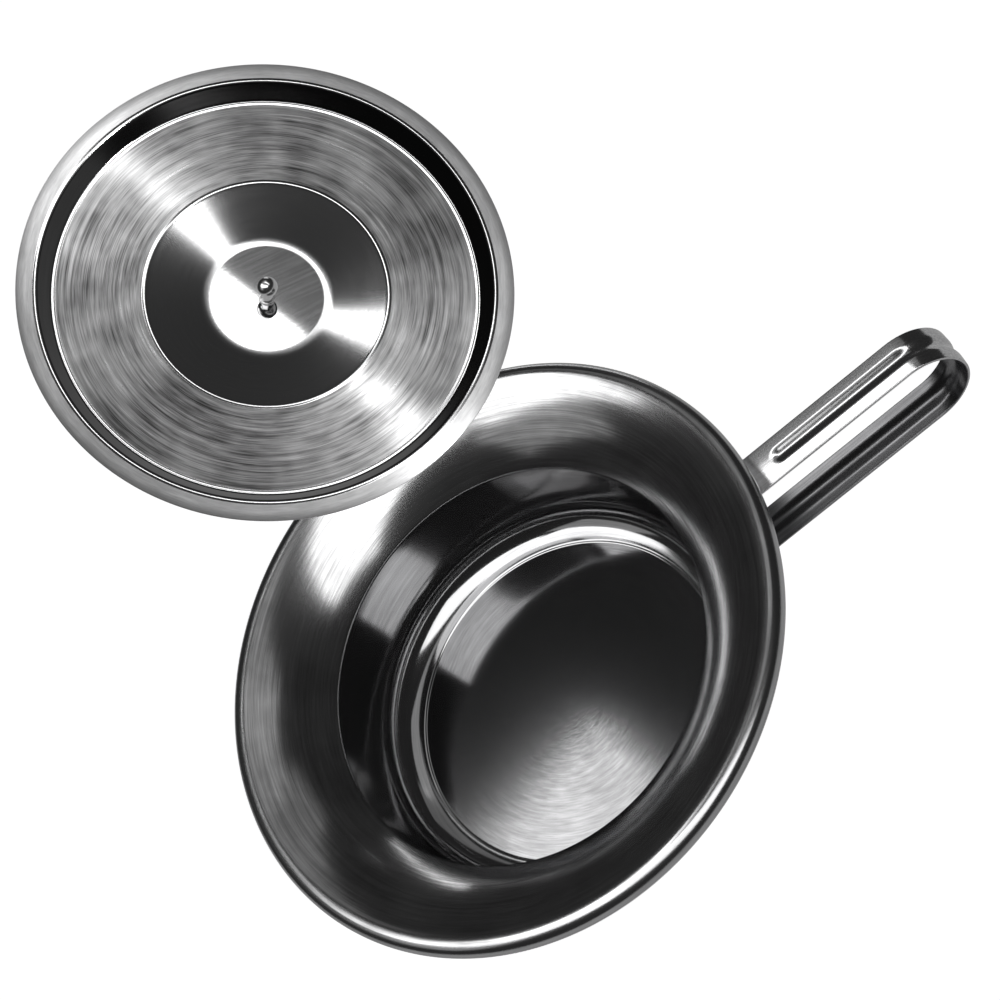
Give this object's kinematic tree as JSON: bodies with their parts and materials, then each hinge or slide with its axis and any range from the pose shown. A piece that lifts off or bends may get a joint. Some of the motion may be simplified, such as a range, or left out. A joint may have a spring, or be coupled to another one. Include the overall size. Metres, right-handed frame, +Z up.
{
  "type": "bedpan",
  "caption": "Round stainless steel bedpan with a sloped rolled rim, a flat loop handle at the side and a separate dished lid with a ball knob.",
  "frame": {"origin": "centre of the flat bottom the pan stands on", "axes": "+Z up, +X along the handle away from the pan, +Y towards the side where the lid is held"},
  "size_m": [0.3952, 0.4272, 0.2454],
  "materials": {
    "pan_steel": "satin stainless outside and on the rim, mirror polished in the bowl",
    "handle_steel": "satin stainless with lengthwise brush marks",
    "weld_steel": "dressed plug welds",
    "lid_steel": "circular brushed stainless with a polished dish",
    "knob_steel": "turned and polished stainless",
    "fixing_steel": "plain stainless fastener"
  },
  "bodies": {
    "pan": {"pan_shell": "pan_steel", "handle_strip": "handle_steel", "upper_handle_welds": "weld_steel", "lower_handle_welds": "weld_steel"},
    "lid": {"lid_shell": "lid_steel", "lid_knob": "knob_steel", "knob_washer": "fixing_steel", "knob_screw": "fixing_steel"}
  },
  "joints": [
    {"name": "lid_swing", "type": "hinge", "parent": "pan", "child": "lid", "pos_m": [0.15526, 0.06677, 0.12859], "axis": [-0.0787, -0.5093, 0.857], "range_deg": [-50, 69.89]}
  ]
}
